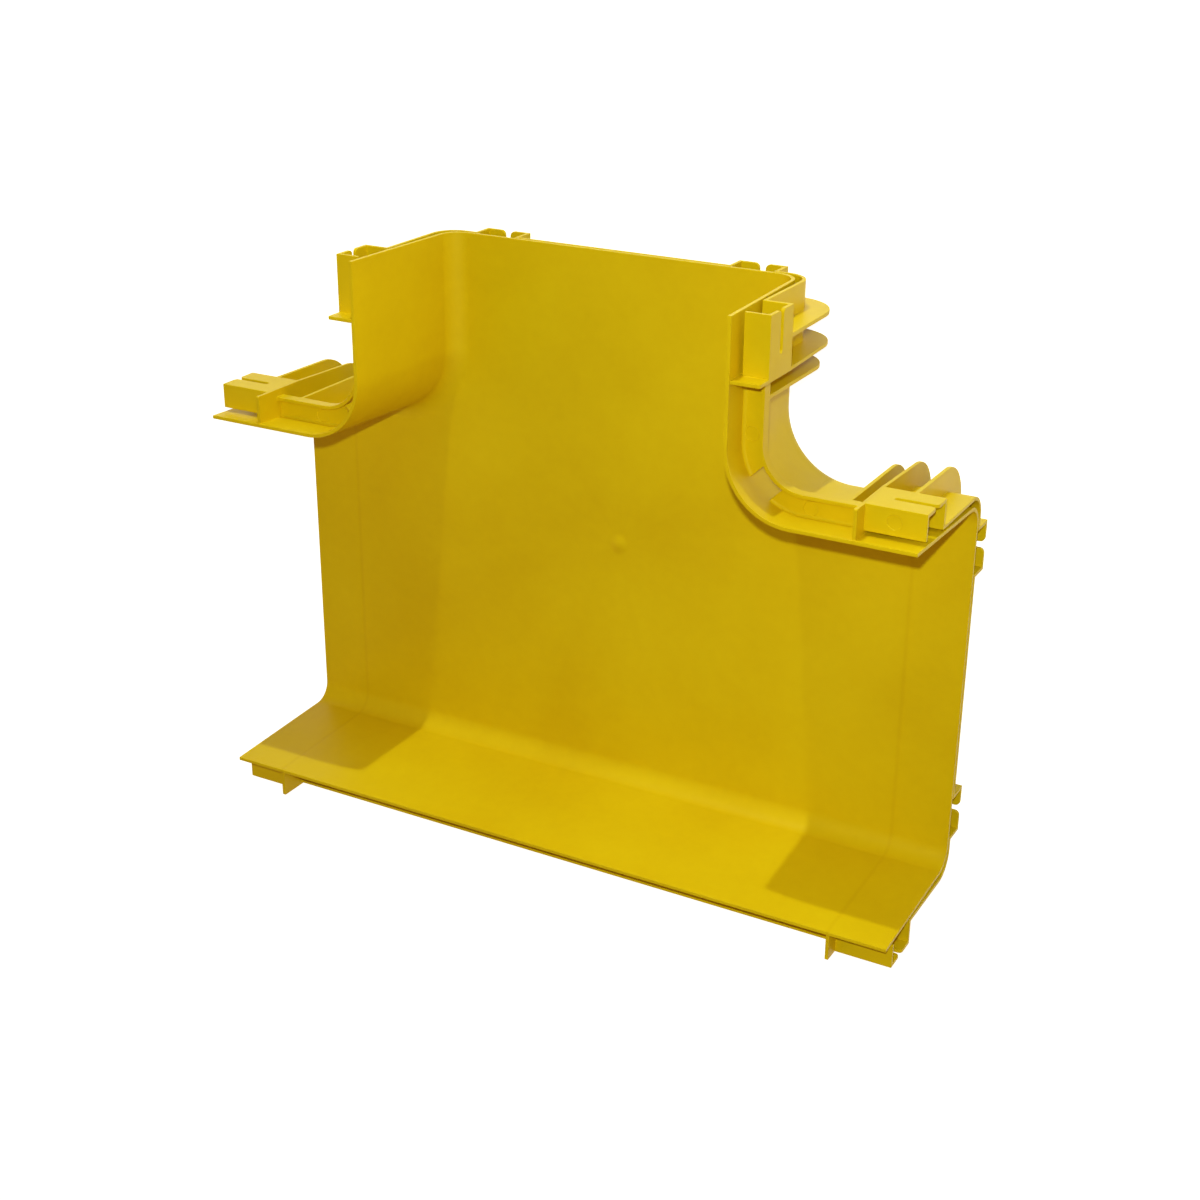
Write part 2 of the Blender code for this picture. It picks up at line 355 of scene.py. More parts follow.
class TurnToEnds(Repeater):
    """Copies a shape from the +X end to all three ends by quarter turns."""

    ENDS = 3
    POINT_RADIUS = 0.001

    def __init__(self, material: Material) -> None:
        """Build the tree: one instance for each end, turned by its number of quarters.

        Args:
            material: The tee's material.
        """
        super().__init__("turn_to_ends", material)
        self.count = self.socket("Ends", "NodeSocketInt")
        self.turn = self.socket("Turn", "NodeSocketFloat")
        given = self.tree.node("NodeGroupInput")
        places = self.tree.node(
            "GeometryNodePoints", Count=given.out("Ends"), Radius=self.POINT_RADIUS
        )
        angle = self.tree.node("GeometryNodeInputIndex") * given.out("Turn")
        turned = self.tree.node("ShaderNodeCombineXYZ", Z=angle)
        copies = self.tree.node(
            "GeometryNodeInstanceOnPoints",
            Points=places,
            Instance=given.out("Geometry"),
            Rotation=turned,
        )
        self.close(copies)

    def apply(self, made: Object) -> Object:
        """Copy an object's shape to the three ends."""
        return self.run(made, {self.count: self.ENDS, self.turn: math.pi / 2})


class MirrorCorners(Repeater):
    """Copies a shape of the right corner to the left corner too."""

    def __init__(self, material: Material) -> None:
        """Build the tree: the shape and its mirror image, with its faces flipped back.

        Args:
            material: The tee's material.
        """
        super().__init__("mirror_corners", material)
        self.scale = self.socket("Mirror", "NodeSocketVector")
        given = self.tree.node("NodeGroupInput")
        image = self.tree.node(
            "GeometryNodeTransform", Geometry=given.out("Geometry"), Scale=given.out("Mirror")
        )
        image = self.tree.node("GeometryNodeFlipFaces", Mesh=image)
        both = self.tree.node("GeometryNodeJoinGeometry", Geometry=image)
        self.tree.tree.links.new(given.out("Geometry").output, both.made.inputs["Geometry"])
        self.close(both)

    def apply(self, made: Object) -> Object:
        """Copy an object's shape to the other corner."""
        return self.run(made, {self.scale: (-1.0, 1.0, 1.0)})


class MarkStamp(Repeater):
    """Puts a cutter for an ejector mark at each point of a mesh of loose points."""

    def __init__(self, material: Material) -> None:
        """Build the tree: a short cone at each point, wider at its open end.

        Args:
            material: The tee's material.
        """
        super().__init__("ejector_marks", material)
        self.radius = self.socket("Radius", "NodeSocketFloat")
        self.flank = self.socket("Flank", "NodeSocketFloat")
        self.depth = self.socket("Depth", "NodeSocketFloat")
        self.sides = self.socket("Sides", "NodeSocketInt")
        given = self.tree.node("NodeGroupInput")
        wide = given.out("Radius") + given.out("Flank")
        cone = self.tree.node(
            "GeometryNodeMeshCone",
            {"fill_type": "NGON"},
            Vertices=given.out("Sides"),
            Radius_Top=wide,
            Radius_Bottom=given.out("Radius") - given.out("Flank"),
            Depth=2.0 * given.out("Depth"),
        )
        drop = self.tree.node("ShaderNodeCombineXYZ", Z=0.0 - given.out("Depth"))
        sunk = self.tree.node("GeometryNodeTransform", Geometry=cone, Translation=drop)
        copies = self.tree.node(
            "GeometryNodeInstanceOnPoints", Points=given.out("Geometry"), Instance=sunk
        )
        self.close(copies)

    def apply(self, made: Object, marks: MouldMarks) -> Object:
        """Put the cutters at an object's points.

        Args:
            made: Mesh of loose points.
            marks: Sizes of the marks.

        Returns:
            The same object, with the cutters for its mesh.
        """
        values = {
            self.radius: marks.pin_radius,
            self.flank: marks.pin_flank,
            self.depth: marks.pin_depth,
            self.sides: marks.pin_sides,
        }
        return self.run(made, values)


@dataclass(frozen=True)
class Channel:
    """Floor and leaning walls of the tee, open at the top and at three ends.

    reach is the distance from the crossing to each end, and is read from the frame.
    """

    reach: float
    floor_width: float = 0.232
    wall_height: float = 0.100
    wall_lean: float = 0.004
    thickness: float = 0.0023
    floor_fillet: float = 0.0125
    bend_radius: float = 0.040
    overcut: float = 0.005
    bend_steps: int = 26
    fillet_steps: int = 12

    @property
    def lean(self) -> float:
        """Angle of the walls from upright."""
        return math.atan2(self.wall_lean, self.wall_height)

    @property
    def bend_centre(self) -> float:
        """Distance of a bend's centre from each of the two centre lines."""
        return self.floor_width / 2 + self.wall_lean + self.bend_radius

    def half(self, level: float, outward: float = 0.0) -> float:
        """Half width at a level above the floor, for a face outward of the wall's inner face."""
        lean = self.wall_lean * level / self.wall_height
        return self.floor_width / 2 + lean + outward / math.cos(self.lean)

    def plan(self, half: float, reach: float) -> list[Point]:
        """Plan of the tee at one half width.

        Args:
            half: The half width.
            reach: Distance from the crossing to each end.

        Returns:
            The outline, anticlockwise.
        """
        centre = (self.bend_centre, self.bend_centre)
        bend = arc(centre, self.bend_centre - half, 270, 180, self.bend_steps)
        right = [(reach, -half), (reach, half), *bend, (half, reach)]
        return right + mirrored(right)

    def sweep(self, name: str, section: list[Point], reach: float) -> Object:
        """Sweep a section of half widths and levels round the plan of the tee."""
        rings = [[(x, y, level) for x, y in self.plan(half, reach)] for half, level in section]
        return loft(name, rings)

    def corner(self, outward: float) -> list[Point]:
        """Section of the rounded corner between floor and wall.

        Args:
            outward: Distance of the face outward from the inner face.

        Returns:
            Half widths and levels, from the floor upwards.
        """
        lean = math.degrees(self.lean)
        fillet = self.floor_fillet
        centre = (self.half(fillet) - fillet / math.cos(self.lean), fillet)
        return arc(centre, fillet + outward, -90, -lean, self.fillet_steps)

    def block(self) -> Object:
        """Outside of the channel as a solid block."""
        rim = (self.half(self.wall_height, self.thickness), self.wall_height)
        return self.sweep(NODE, [*self.corner(self.thickness), rim], self.reach)

    def void(self) -> Object:
        """Space inside the channel, past the rim and the three ends.

        Returns:
            The cutter.
        """
        above = self.wall_height + self.overcut
        section = [*self.corner(0.0), (self.half(above), above)]
        return self.sweep("channel_void", section, self.reach + self.overcut)


@dataclass(frozen=True)
class EndFitting:
    """Sleeve outside one open end, with its pockets, slots, closing rib and fins."""

    channel: Channel
    depth: float = 0.036
    thickness: float = 0.0022
    side_gap: float = 0.0015
    floor_gap: float = 0.0012
    corner_radius: float = 0.0155
    pocket_base: float = 0.0586
    pocket_height: float = 0.0295
    pocket_reach: float = 0.0154
    pocket_slot_level: float = 0.0732
    pocket_slot_width: float = 0.0034
    pocket_slot_mouth: float = 0.0025
    foot_inset: float = 0.02225
    foot_width: float = 0.031
    foot_drop: float = 0.0139
    foot_slot_width: float = 0.0039
    foot_slot_mouth: float = 0.003
    slot_length: float = 0.024
    rib_thickness: float = 0.0022
    rib_below_rim: float = 0.0009
    rib_tip_round: float = 0.001
    fin_thickness: float = 0.0025
    fin_round: float = 0.0275
    fin_lean: float = 0.0019
    fin_step: float = 0.001
    sleeve_fin_station: float = 0.018
    corner_steps: int = 10
    fin_steps: int = 14
    slot_steps: int = 6
    mouth_steps: int = 4
    tip_steps: int = 4

    @property
    def rib_place(self) -> float:
        """Distance of the closing rib's middle from the crossing."""
        return self.channel.reach - self.depth

    @property
    def side(self) -> float:
        """Half width of the sleeve."""
        inner = self.channel.half(self.pocket_base, self.channel.thickness)
        return inner + self.side_gap + self.thickness

    @property
    def bottom(self) -> float:
        """Level of the sleeve's underside."""
        return -(self.channel.thickness + self.floor_gap + self.thickness)

    @property
    def pocket_side(self) -> float:
        """Half width over the side pockets."""
        return self.side + self.pocket_reach

    @property
    def pocket_top(self) -> float:
        """Level of the side pockets' upper plates."""
        return self.pocket_base + self.pocket_height

    @property
    def foot_outer(self) -> float:
        """Distance of a foot's outer side from the middle of the end."""
        return self.side - self.foot_inset

    @property
    def foot_inner(self) -> float:
        """Distance of a foot's inner side from the middle of the end."""
        return self.foot_outer - self.foot_width

    @property
    def foot_bottom(self) -> float:
        """Level of the feet's underside."""
        return self.bottom - self.foot_drop

    @property
    def fin_centre(self) -> Point:
        """Centre of the fins' rounded lower corner."""
        across = self.pocket_side - self.fin_lean - self.fin_round
        return (across, self.foot_bottom + self.fin_round)

    def face(self, inward: float) -> list[Point]:
        """Half of the sleeve's section.

        Args:
            inward: Depth inside the outer face.

        Returns:
            The points, from the foot round to the side pocket.
        """
        corner = (self.side - self.corner_radius, self.bottom + self.corner_radius)
        return [
            (self.foot_inner + inward, self.bottom + inward),
            (self.foot_inner + inward, self.foot_bottom + inward),
            (self.foot_outer - inward, self.foot_bottom + inward),
            (self.foot_outer - inward, self.bottom + inward),
            *arc(corner, self.corner_radius - inward, -90, 0, self.corner_steps),
            (self.side - inward, self.pocket_base + inward),
            (self.pocket_side - inward, self.pocket_base + inward),
            (self.pocket_side - inward, self.pocket_top - inward),
            (self.side, self.pocket_top - inward),
        ]

    def sleeve(self) -> Object:
        """Sheet of even thickness round the end, stepped out at its four pockets.

        Returns:
            The sleeve.
        """
        outer = self.face(0.0)
        inner = self.face(self.thickness)
        outline = mirrored(outer) + outer + inner[::-1] + mirrored(inner)[::-1]
        return prism("sleeve", outline, self.rib_place, self.channel.reach, Axis.X)

    def closing_rib(self) -> Object:
        """Plate across the end behind the sleeve, cut to a point beside the rim.

        Returns:
            The rib.
        """
        top = self.channel.wall_height - self.rib_below_rim
        tip = (self.pocket_side - self.rib_tip_round, top - self.rib_tip_round)
        outer = arc(self.fin_centre, self.fin_round, -90, 0, self.fin_steps)
        outer += [(self.pocket_side, self.pocket_base)]
        outer += arc(tip, self.rib_tip_round, 0, 90, self.tip_steps)
        outline = mirrored(outer) + outer
        return plate("closing_rib", outline, self.rib_place, self.rib_thickness, Axis.X)

    def sleeve_fin(self, side: int) -> Object:
        """Fin round the sleeve's corner, from the side pocket to the foot.

        Args:
            side: 1 or -1, the side of the middle that it is on.

        Returns:
            The fin.
        """
        root = self.thickness / 2
        outline = [(self.pocket_side - self.fin_step, self.pocket_base + root)]
        outline += arc(self.fin_centre, self.fin_round, 0, -90, self.fin_steps)
        outline += [(self.foot_outer - root, self.foot_bottom)]
        outline += self.face(root)[3:-3]
        outline = [(side * across, level) for across, level in outline]
        middle = self.channel.reach - self.sleeve_fin_station
        return plate("sleeve_fin", outline, middle, self.fin_thickness, Axis.X)

    def slot_outline(self, width: float, mouth: float, level: float) -> list[Point]:
        """Slot with a round end and a flared mouth, drawn from the open end inwards.

        Args:
            width: Width of the slot.
            mouth: Radius of its flare.
            level: Place of its middle line, across it.

        Returns:
            The outline, with the distance from the crossing first.
        """
        reach = self.channel.reach
        half = width / 2
        upper = [(reach + self.channel.overcut, half + mouth)]
        upper += arc((reach - mouth, half + mouth), mouth, 0, -90, self.mouth_steps)
        upper += arc((reach - self.slot_length + half, 0.0), half, 90, 180, self.slot_steps)
        lower = [(along, -across) for along, across in reversed(upper[:-1])]
        return [(along, level + across) for along, across in upper + lower]

    def pocket_slot(self, side: int) -> Object:
        """Slot in a side pocket's outer plate.

        Args:
            side: 1 or -1, the side of the middle.

        Returns:
            The cutter.
        """
        outline = self.slot_outline(
            self.pocket_slot_width, self.pocket_slot_mouth, self.pocket_slot_level
        )
        near = side * (self.side + self.thickness)
        far = side * (self.pocket_side + self.channel.overcut)
        return prism("pocket_slot", outline, min(near, far), max(near, far), Axis.Y)

    def foot_slot(self, side: int) -> Object:
        """Slot in a foot.

        Args:
            side: 1 or -1, the side of the middle.

        Returns:
            The cutter.
        """
        middle = side * (self.foot_inner + self.foot_outer) / 2
        outline = self.slot_outline(self.foot_slot_width, self.foot_slot_mouth, middle)
        low = self.foot_bottom - self.channel.overcut
        return prism("foot_slot", outline, low, self.bottom - self.thickness, Axis.Z)

    def parts(self) -> list[Object]:
        """Everything that is added at the +X end."""
        return [self.sleeve(), self.closing_rib(), self.sleeve_fin(1), self.sleeve_fin(-1)]

    def cutters(self) -> list[Object]:
        """Everything that is cut away at the +X end."""
        return [cut(side) for side in (1, -1) for cut in (self.pocket_slot, self.foot_slot)]


@dataclass(frozen=True)
class Shelf:
    """Ledges and lips along the walls, with the windows and fins of the two corners."""

    channel: Channel
    end: EndFitting
    level: float = 0.0757
    thickness: float = 0.0023
    reach_out: float = 0.0127
    lip_thickness: float = 0.0023
    lip_rise: float = 0.0035
    lip_drop: float = 0.0015
    back_reach: float = 0.0031
    cove: float = 0.0022
    cove_steps: int = 5
    window_width: float = 0.0165
    window_turn: float = 225.0
    window_lip_share: float = 1 / 6
    fin_station: float = 0.0493
    fin_lean: float = 0.001

    @property
    def edge(self) -> float:
        """Half width over the ledges."""
        return self.channel.half(self.channel.wall_height, self.channel.thickness) + self.reach_out

    @property
    def top(self) -> float:
        """Level of the ledges' upper face."""
        return self.level + self.thickness

    @property
    def lip_top(self) -> float:
        """Level of the lips' upper edge."""
        return self.top + self.lip_rise

    @property
    def lip_bottom(self) -> float:
        """Level of the lips' lower edge."""
        return self.level - self.lip_drop

    @property
    def root(self) -> float:
        """Half width inside the wall, where the ledges start."""
        return self.channel.half(self.level, self.channel.thickness / 2)

    def strip(self, name: str, inner: float, outer: list[Point]) -> Object:
        """Band that follows the right corner's wall from one closing rib to the other.

        Args:
            name: Name of the band.
            inner: Half width at its inner side.
            outer: Half width and level of each step of its outer side, from below.

        Returns:
            The band.
        """
        middle = self.channel.bend_centre
        rib = self.end.rib_place
        steps = self.channel.bend_steps
        centre = (middle, middle)
        near = [(rib, inner), *arc(centre, middle - inner, 270, 180, steps), (inner, rib)]
        rings = []
        for edge, level in outer:
            far = [(edge, rib), *arc(centre, middle - edge, 180, 270, steps), (rib, edge)]
            rings.append([(x, y, level) for x, y in near + far])
        return loft(name, rings)

    def window(self) -> Object:
        """Window in the ledge, at the middle of the bend.

        Returns:
            The cutter.
        """
        middle = self.channel.bend_centre
        near = middle - self.channel.half(self.level)
        far = middle - self.edge + self.lip_thickness * self.window_lip_share
        half = self.window_width / 2
        turn = Matrix.Rotation(math.radians(self.window_turn), 2)
        square = ((near, -half), (near, half), (far, half), (far, -half))
        corners = [turn @ Vector(point) for point in square]
        outline = [(middle + c.x, middle + c.y) for c in corners]
        overcut = self.channel.overcut
        return prism("window", outline, self.level - overcut, self.top + overcut, Axis.Z)

    def corner_ledge(self) -> Object:
        """Ledge round the right corner, coved into the wall, with its window.

        Returns:
            The ledge.
        """
        steps = [(self.edge, self.level), (self.edge, self.top)]
        ledge = self.strip("corner_ledge", self.root, steps)
        combine(ledge, [self.corner_cove()], Join.ADD)
        combine(ledge, [self.window()], Join.CUT)
        return ledge

    def corner_cove(self) -> Object:
        """Hollow rounding between the ledge and the wall of the right corner.

        Returns:
            The rounding.
        """
        wall = self.channel.half(self.top, self.channel.thickness)
        hollow = arc((wall + self.cove, self.top + self.cove), self.cove, 270, 180, self.cove_steps)
        return self.strip("corner_cove", self.root, [(wall + self.cove, self.level), *hollow])

    def corner_lip(self) -> Object:
        """Raised lip along the edge of the right corner's ledge."""
        steps = [(self.edge, self.lip_bottom), (self.edge, self.lip_top)]
        return self.strip("corner_lip", self.edge - self.lip_thickness, steps)

    def corner_fin(self, axis: Axis) -> Object:
        """Fin behind a closing rib of the right corner, from the ledge round under the floor.

        Args:
            axis: X for the fin across the run, and Y for the one across the branch.

        Returns:
            The fin.
        """
        level = self.level + self.thickness / 2
        centre = self.end.fin_centre
        outline = [(self.edge - self.end.fin_step, level)]
        outline += arc(centre, self.edge - self.fin_lean - centre[0], 0, -90, self.end.fin_steps)
        outline += [(self.end.foot_outer, outline[-1][1]), (self.end.foot_outer, 0.0)]
        outline += [(self.channel.half(level, self.channel.thickness / 2), level)]
        middle = self.channel.reach - self.fin_station
        return plate("corner_fin", outline, middle, self.end.fin_thickness, axis)

    def back_ledge(self) -> Object:
        """Ledge and lip along the back wall, between the closing ribs of the run.

        Returns:
            The ledge.
        """
        edge = self.edge + self.back_reach
        inner = edge - self.lip_thickness
        outline = [(self.root, self.level), (inner, self.level), (inner, self.lip_bottom)]
        outline += [(edge, self.lip_bottom), (edge, self.lip_top), (inner, self.lip_top)]
        outline += [(inner, self.top), (self.root, self.top)]
        outline = [(-across, level) for across, level in outline]
        return prism("back_ledge", outline, -self.end.rib_place, self.end.rib_place, Axis.X)

    def corner_parts(self) -> list[Object]:
        """Everything that is added at the right corner."""
        fins = [self.corner_fin(axis) for axis in (Axis.X, Axis.Y)]
        return [self.corner_ledge(), self.corner_lip(), *fins]


@dataclass(frozen=True)
class MouldMarks:
    """Marks that the mould leaves: the dome at the gate and the ejector pins' sunk discs."""

    channel: Channel
    end: EndFitting
    shelf: Shelf
    gate_offset: Point = (0.0040, 0.0478)
    gate_diameter: float = 0.015
    gate_rise: float = 0.0011
    gate_steps: int = 40
    gate_rings: int = 8
    pin_radius: float = 0.0043
    pin_flank: float = 0.00025
    pin_depth: float = 0.0003
    pin_sides: int = 40
    ledge_pin_station: float = 0.0695
    ledge_pin_shift: float = 0.0005
    pocket_pin_station: float = 0.018

    def gate_dome(self) -> Object:
        """Low dome where the plastic was fed in, on one wave of a cosine.

        Returns:
            The dome.
        """
        rings = [self.gate_ring(1.0, -self.channel.thickness / 2)]
        for i in range(self.gate_rings):
            share = 1.0 - i / self.gate_rings
            level = self.gate_rise * (1 + math.cos(math.pi * share)) / 2
            rings.append(self.gate_ring(share, level))
        return loft("gate_dome", rings)

    def gate_ring(self, share: float, level: float) -> list[Place]:
        """Ring of points at a share of the dome's radius."""
        circle = arc(self.gate_offset, self.gate_diameter / 2 * share, 0, 360, self.gate_steps)
        return [(x, y, level) for x, y in circle[:-1]]

    def pin_points(self) -> Object:
        """Loose points where ejector pins pressed on the ledges and on one pocket.

        Returns:
            A mesh of the points.
        """
        on_ledge = (self.shelf.root + self.shelf.edge - self.shelf.lip_thickness) / 2
        on_ledge += self.ledge_pin_shift
        on_pocket = (self.end.side + self.end.pocket_side) / 2
        along = self.channel.reach - self.ledge_pin_station
        level = self.shelf.top
        bm = bmesh.new()
        for side in (1, -1):
            bm.verts.new((side * along, on_ledge, level))
            bm.verts.new((side * on_ledge, along, level))
        along = self.channel.reach - self.pocket_pin_station
        bm.verts.new((along, on_pocket, self.end.pocket_top))
        return new_object("ejector_marks", bm)


@dataclass(frozen=True)
class YellowPlastic:
    """Finish of the moulding: satin yellow, clouded by the flow from the gate.

    gate is where the plastic was fed in. rib_place is where the run's closing ribs stand on X,
    and the channel sinks a little along them, with its colour darkened there as painted shade.
    """

    gate: Place
    rib_place: float
    deep: Colour = (0.692, 0.460, 0.0032)
    plain: Colour = (0.750, 0.524, 0.0042)
    fresh: Colour = (0.800, 0.582, 0.0060)
    tone_places: tuple[float, float, float] = (0.30, 0.52, 0.74)
    cloud_scale: float = 9.0
    cloud_share: float = 0.72
    streak_scales: tuple[float, float, float] = (5.0, 9.0, 12.0)
    streak_share: float = 0.13
    speck_scale: float = 160.0
    speck_share: float = 0.15
    scuff_scale: float = 38.0
    roughness: float = 0.44
    roughness_spread: float = 0.10
    specular: float = 0.14
    grain_size: float = 0.0009
    grain_height: float = 0.001
    grain_strength: float = 0.05
    wave_size: float = 0.045
    wave_height: float = 0.01
    wave_strength: float = 0.10
    sink_width: float = 0.0042
    sink_depth: float = 0.00005
    # How far the sinks darken the colour, as painted shade along the closing ribs.
    sink_painted_shade: float = 0.12

    def build(self) -> Material:
        """Make the material.

        Returns:
            The material, named as the record's slot.
        """
        material = bpy.data.materials.new(SLOT)
        material.use_nodes = True
        tree = Tree(material.node_tree)
        place = tree.node("ShaderNodeTexCoord").out("Object")
        from_gate = tree.node("ShaderNodeMapping", Vector=place, Location=[-c for c in self.gate])
        clouds = self.noise(tree, place, self.cloud_scale, detail=3.0) * self.cloud_share
        streaks = self.streaks(tree, from_gate) * self.streak_share
        specks = self.noise(tree, place, self.speck_scale, detail=2.0) * self.speck_share
        sunk = self.sinks(tree, place)
        # Subtracting the sinks paints shade into the colour along the closing ribs.
        shade = (clouds + streaks + specks - sunk * self.sink_painted_shade).clamped()
        stops = tuple(zip(self.tone_places, (self.deep, self.plain, self.fresh)))
        colour = self.ramp(tree, shade, stops)
        scuffs = self.noise(tree, place, self.scuff_scale, detail=4.0)
        least = self.roughness - self.roughness_spread / 2
        roughness = scuffs * self.roughness_spread + least
        shader = tree.node(
            "ShaderNodeBsdfPrincipled",
            Base_Color=colour,
            Roughness=roughness,
            Specular_IOR_Level=self.specular,
            Normal=self.relief(tree, place, sunk),
        )
        tree.node("ShaderNodeOutputMaterial", Surface=shader)
        return material

    def noise(self, tree: Tree, place: Socket, scale: float, detail: float) -> Socket:
        """Smooth noise between 0 and 1 over the object."""
        inputs = {"Vector": place, "Scale": scale, "Detail": detail, "Roughness": 0.5}
        return tree.node("ShaderNodeTexNoise", **inputs)

    def streaks(self, tree: Tree, from_gate: Socket) -> Socket:
        """Streaks that run out from the gate, as the plastic flowed.

        Args:
            tree: The material's tree.
            from_gate: Position, with the gate at the origin.

        Returns:
            Noise that is long away from the gate and narrow across.
        """
        parts = tree.node("ShaderNodeSeparateXYZ", Vector=from_gate)
        across = parts.out("Y").maths("ARCTAN2", parts.out("Y"), parts.out("X"))
        length = tree.node("ShaderNodeVectorMath", {"operation": "LENGTH"}, Vector=from_gate)
        turns, reach, rise = self.streak_scales
        flow = tree.node(
            "ShaderNodeCombineXYZ",
            X=across * turns,
            Y=length.out("Value") * reach,
            Z=parts.out("Z") * rise,
        )
        return self.noise(tree, flow, scale=1.0, detail=2.5)

    def ramp(self, tree: Tree, shade: Socket, stops: tuple[tuple[float, Colour], ...]) -> Socket:
        """Colour ramp with a stop for each tone of the plastic.

        Args:
            tree: The material's tree.
            shade: Place on the ramp, from 0 to 1.
            stops: Place and colour of each tone.

        Returns:
            The colour.
        """
        made = tree.node("ShaderNodeValToRGB", Fac=shade)
        elements = made.made.color_ramp.elements
        while len(elements) < len(stops):
            elements.new(1.0)
        for element, (position, colour) in zip(elements, stops):
            element.position = position
            element.color = (*colour, 1.0)
        return made

    def sinks(self, tree: Tree, place: Socket) -> Socket:
        """Depth of the sinks that the run's closing ribs leave in the channel, which also darkens
        the colour there as painted shade.

        Args:
            tree: The material's tree.
            place: Position on the object.

        Returns:
            The depth, 1 at the middle of a rib and 0 past the sink's sides.
        """
        along = tree.node("ShaderNodeSeparateXYZ", Vector=place).out("X")
        away = along.maths("ABSOLUTE", along, 0.0) - self.rib_place
        share = away * (2.0 / self.sink_width)
        open_part = (1.0 - share * share).clamped()
        return open_part * open_part

    def relief(self, tree: Tree, place: Socket, sunk: Socket) -> Socket:
        """Fine grain of the mould over slow waves from shrinking and sinks behind the ribs.

        Args:
            tree: The material's tree.
            place: Position on the object.
            sunk: Depth of the sinks, as a share.

        Returns:
            The normal.
        """
        waves = self.noise(tree, place, 1.0 / self.wave_size, detail=1.0)
        grain = self.noise(tree, place, 1.0 / self.grain_size, detail=2.0)
        depth = 0.0 - sunk
        normal = tree.node("ShaderNodeBump", Strength=1.0, Distance=self.sink_depth, Height=depth)
        for height, strength, distance in (
            (waves, self.wave_strength, self.wave_height),
            (grain, self.grain_strength, self.grain_height),
        ):
            inputs = {"Strength": strength, "Distance": distance, "Height": height}
            normal = tree.node("ShaderNodeBump", Normal=normal, **inputs)
        return normal


@dataclass(frozen=True)
class RacewayTee:
    """The whole moulding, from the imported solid's box to the dressed piece.

    low and high are the box's lowest and highest corners.
    """

    low: Vector
    high: Vector
    edge_round: float = 0.00035
    edge_segments: int = 2
    edge_angle: float = 38.0
    merge: float = 1e-6
    flat: float = 0.05

    @property
    def channel(self) -> Channel:
        """The channel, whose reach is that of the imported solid."""
        return Channel(reach=self.high.x)

    @property
    def crossing(self) -> Vector:
        """Where the centre lines cross on the floor's inner face, in the row frame."""
        pocket_side = self.high.y - self.low.y - self.high.x
        return Vector((0.0, self.low.y + pocket_side, self.high.z - self.channel.wall_height))

    def build(self) -> Object:
        """Model, round and dress the moulding.

        Returns:
            The piece, in its place in the row frame.
        """
        channel = self.channel
        end = EndFitting(channel)
        shelf = Shelf(channel, end)
        marks = MouldMarks(channel, end, shelf)
        crossing = self.crossing
        gate = (marks.gate_offset[0], marks.gate_offset[1] + crossing.y, crossing.z)
        material = YellowPlastic(gate, end.rib_place).build()
        ends = TurnToEnds(material)
        corners = MirrorCorners(material)

        tee = channel.block()
        added = [ends.apply(part) for part in end.parts()]
        added += [corners.apply(part) for part in shelf.corner_parts()]
        added.append(shelf.back_ledge())
        combine(tee, added, Join.ADD)
        combine(tee, [channel.void(), *(ends.apply(cutter) for cutter in end.cutters())], Join.CUT)
        combine(tee, [marks.gate_dome()], Join.ADD)
        log.info("united solid: %d faces", len(tee.data.polygons))
        self.round_edges(tee)
        stamp = MarkStamp(material)
        combine(tee, [stamp.apply(marks.pin_points(), marks)], Join.CUT)
        self.finish_mesh(tee, material, crossing)
        return tee

    def tidy(self, tee: Object) -> None:
        """Merge doubled points, and join faces that lie in one plane.

        Args:
            tee: The moulding.
        """
        bm = bmesh.new()
        bm.from_mesh(tee.data)
        bmesh.ops.remove_doubles(bm, verts=bm.verts, dist=self.merge)
        flat = math.radians(self.flat)
        bmesh.ops.dissolve_limit(bm, angle_limit=flat, verts=bm.verts, edges=bm.edges)
        bm.to_mesh(tee.data)
        bm.free()

    def round_edges(self, tee: Object) -> None:
        """Round every sharp edge and inner corner of the moulding a little.

        Args:
            tee: The moulding.
        """
        self.tidy(tee)
        step = tee.modifiers.new("edge_round", "BEVEL")
        step.width = self.edge_round
        step.segments = self.edge_segments
        step.limit_method = "ANGLE"
        step.angle_limit = math.radians(self.edge_angle)
        step.use_clamp_overlap = False
        bake(tee)

    def finish_mesh(self, tee: Object, material: Material, crossing: Vector) -> None:
        """Move the mesh to its place, and shade it smooth with flat faces kept flat.

        Args:
            tee: The moulding.
            material: Its material.
            crossing: Where its own origin goes.
        """
        tee.data.transform(Matrix.Translation(crossing))
        tee.data.materials.clear()
        tee.data.materials.append(material)
        tee.data.polygons.foreach_set("material_index", [0] * len(tee.data.polygons))
        tee.data.shade_smooth()
        tee.data.set_sharp_from_angle(angle=math.radians(self.edge_angle))
        step = tee.modifiers.new("face_normals", "WEIGHTED_NORMAL")
        step.keep_sharp = True
        bake(tee)


